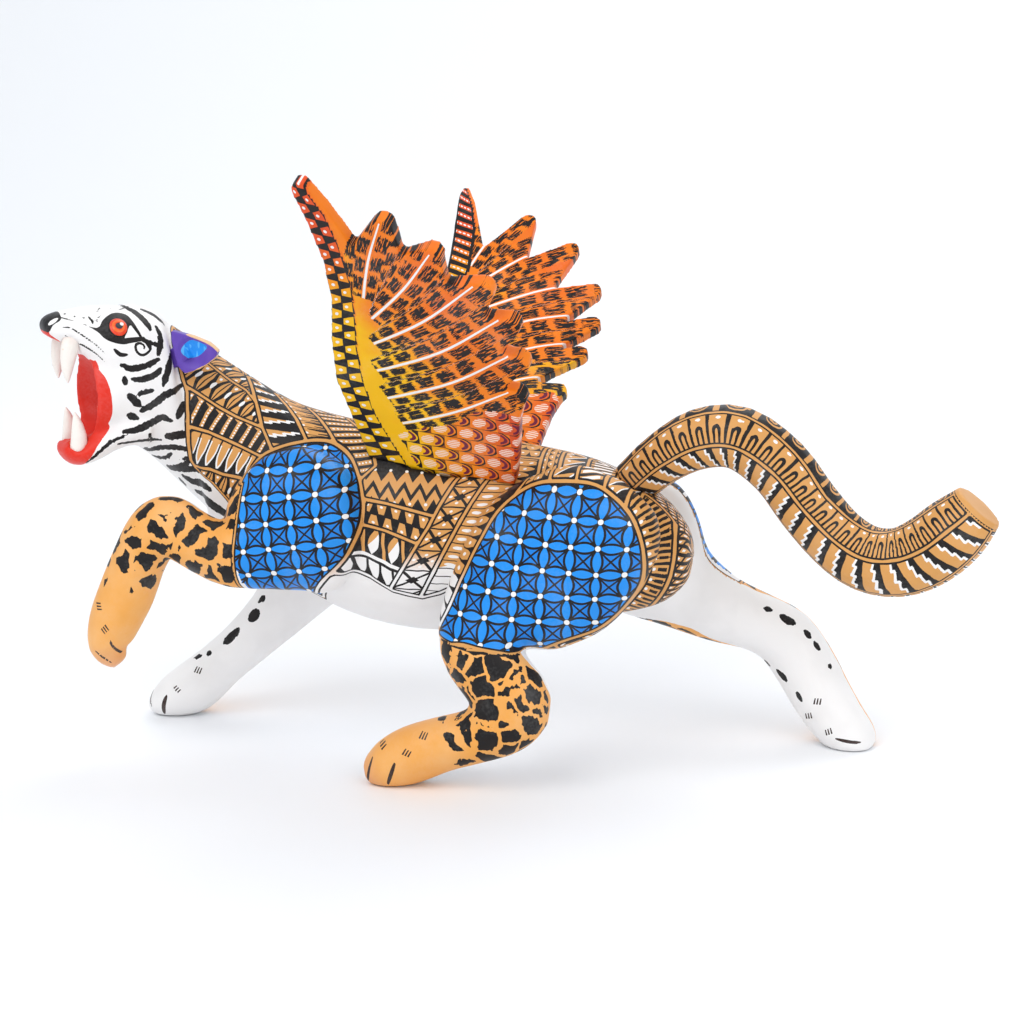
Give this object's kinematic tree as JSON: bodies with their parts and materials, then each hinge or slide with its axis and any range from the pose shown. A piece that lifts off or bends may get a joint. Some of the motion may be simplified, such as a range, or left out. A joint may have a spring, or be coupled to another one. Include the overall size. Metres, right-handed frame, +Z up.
{
  "type": "alebrije figure",
  "caption": "Leaping winged cat in carved and painted wood, mouth open, resting on three paws; wings, tail and ears lift out of their slots.",
  "frame": {"origin": "middle of the figure's footprint box, on the surface it stands on", "axes": "+X towards the tail, the head looks towards -X; -Y is the animal's left side; +Z up"},
  "size_m": [0.3613, 0.2061, 0.2296],
  "materials": {
    "painted_body": "painted, satin",
    "painted_head": "painted, satin",
    "painted_leg": "painted, satin",
    "painted_wing": "painted, satin",
    "painted_ear": "painted, satin",
    "painted_fang": "painted, satin",
    "bare_wood": "bare"
  },
  "bodies": {
    "body": {"torso": "painted_body", "head": "painted_head", "foreleg_left": "painted_leg", "foreleg_right": "painted_leg", "hindleg_left": "painted_leg", "hindleg_right": "painted_leg", "upper_fang_left": "painted_fang", "upper_fang_right": "painted_fang", "lower_fang_left": "painted_fang", "lower_fang_right": "painted_fang", "neck_dowel": "bare_wood", "shoulder_dowel_left": "bare_wood", "shoulder_dowel_right": "bare_wood", "hip_dowel_left": "bare_wood", "hip_dowel_right": "bare_wood"},
    "wing_left": {"wing_left": "painted_wing"},
    "wing_right": {"wing_right": "painted_wing"},
    "tail": {"tail": "painted_body"},
    "ear_left": {"ear_left": "painted_ear"},
    "ear_right": {"ear_right": "painted_ear"}
  },
  "joints": [
    {"name": "wing_left_pull", "type": "slide", "parent": "body", "child": "wing_left", "axis": [-0.0778, -0.5538, 0.829], "range_m": [0, 0.026]},
    {"name": "wing_right_pull", "type": "slide", "parent": "body", "child": "wing_right", "axis": [-0.0967, 0.6879, 0.7193], "range_m": [0, 0.026]},
    {"name": "tail_pull", "type": "slide", "parent": "body", "child": "tail", "axis": [0.7071, 0, 0.7071], "range_m": [0, 0.02]},
    {"name": "ear_left_pull", "type": "slide", "parent": "body", "child": "ear_left", "axis": [0.8188, -0.282, 0.5], "range_m": [0, 0.01]},
    {"name": "ear_right_pull", "type": "slide", "parent": "body", "child": "ear_right", "axis": [-0.1355, 0.8554, 0.5], "range_m": [0, 0.01]}
  ]
}
